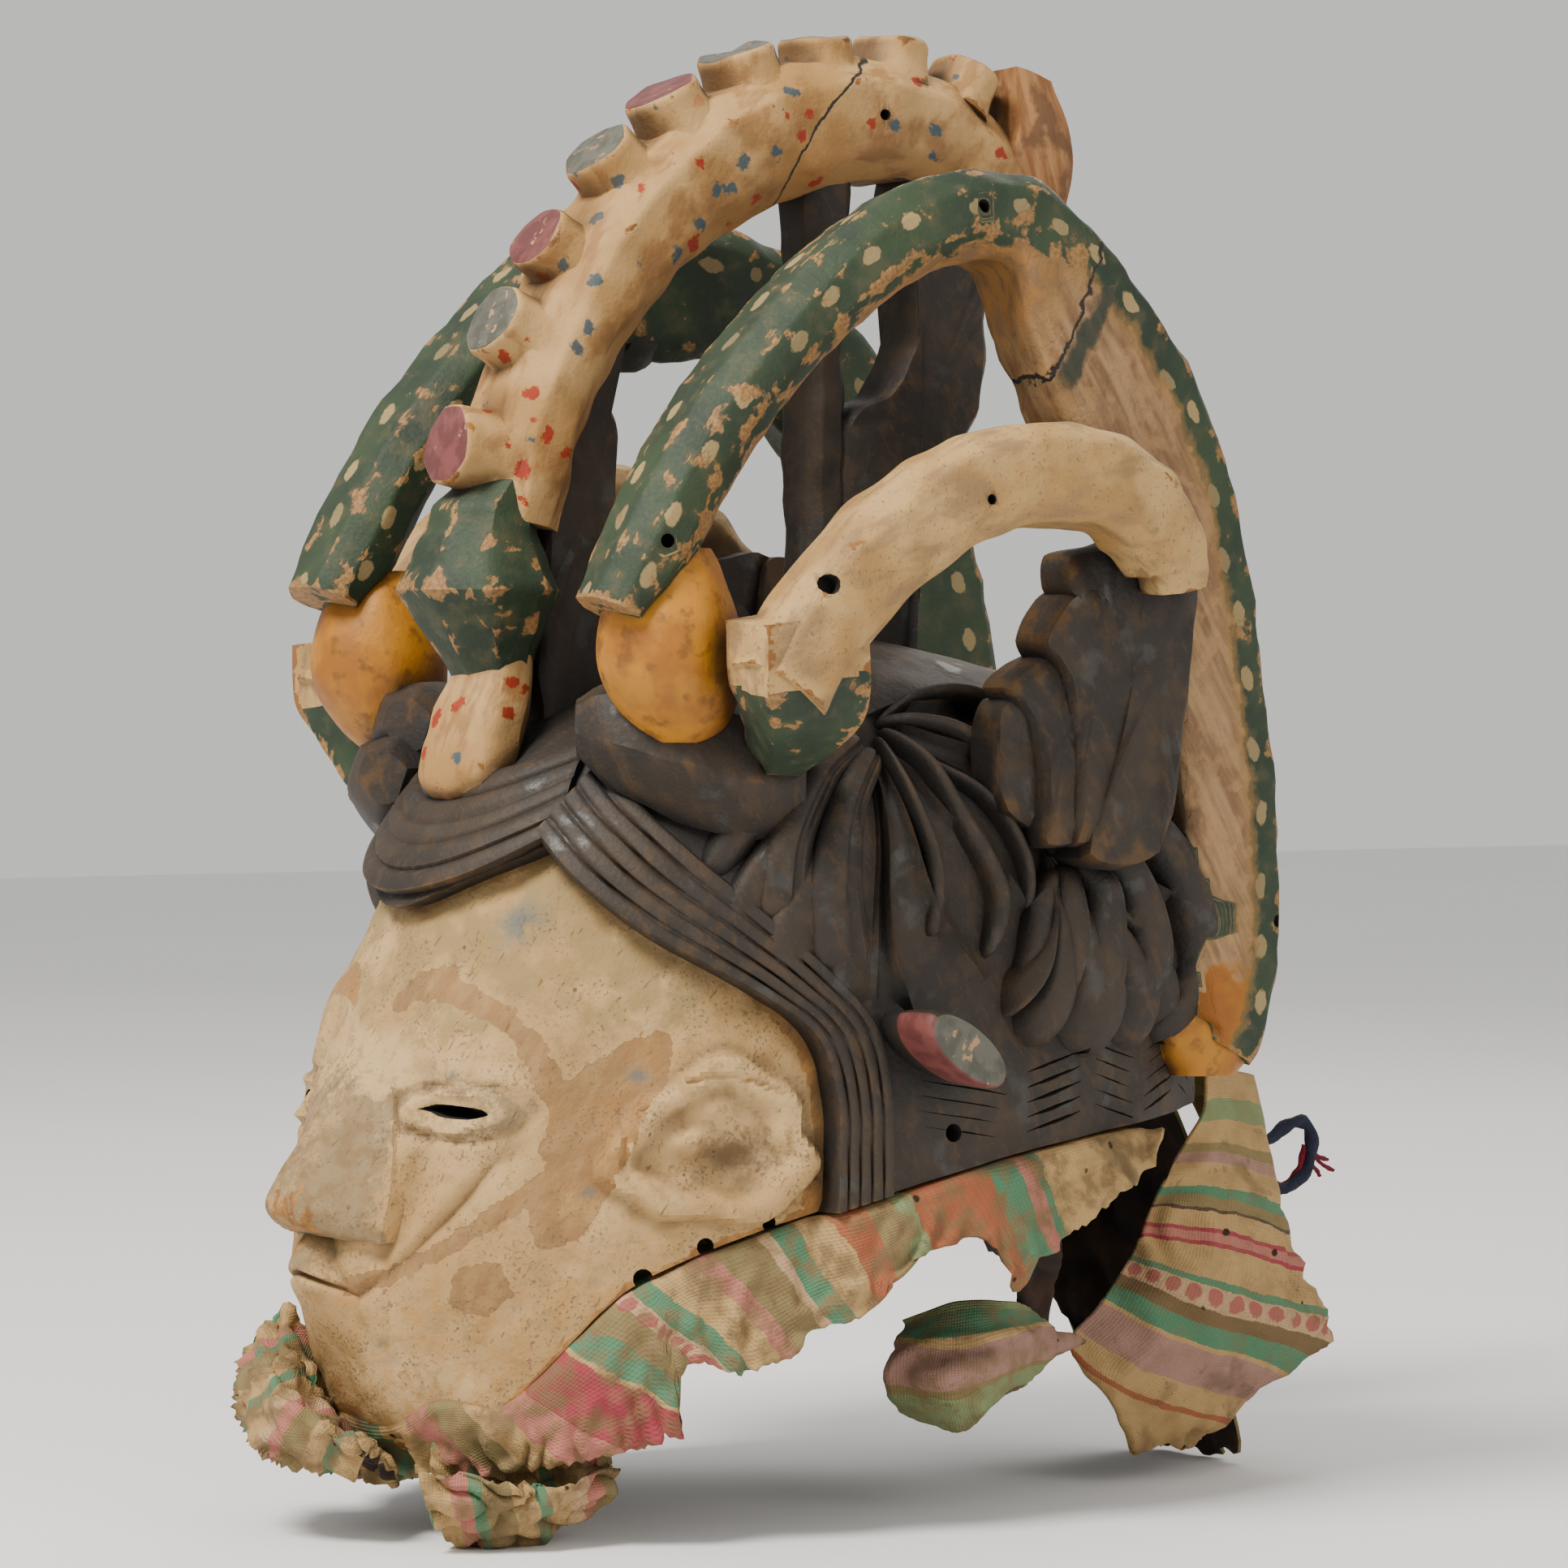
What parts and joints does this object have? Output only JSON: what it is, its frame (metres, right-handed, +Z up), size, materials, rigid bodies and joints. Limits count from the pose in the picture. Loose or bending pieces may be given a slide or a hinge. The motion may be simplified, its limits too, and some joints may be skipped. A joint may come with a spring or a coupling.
{
  "type": "maiden spirit helmet mask",
  "caption": "Hollow carved wooden helmet mask with a pale face, dark grooved hair, an openwork crest of painted arches and a torn striped cloth collar.",
  "frame": {"origin": "middle of the object's footprint, at the floor it stands on", "axes": "+Z up; the face looks towards -Y; the mask's own left side is +X"},
  "size_m": [0.3034, 0.4204, 0.5163],
  "materials": {
    "carved_wood": "matt worn paint, kaolin and dark stain",
    "striped_cloth": "faded woven cotton"
  },
  "bodies": {
    "root": {"carved_mask": "carved_wood", "cloth_collar": "striped_cloth"}
  },
  "joints": []
}
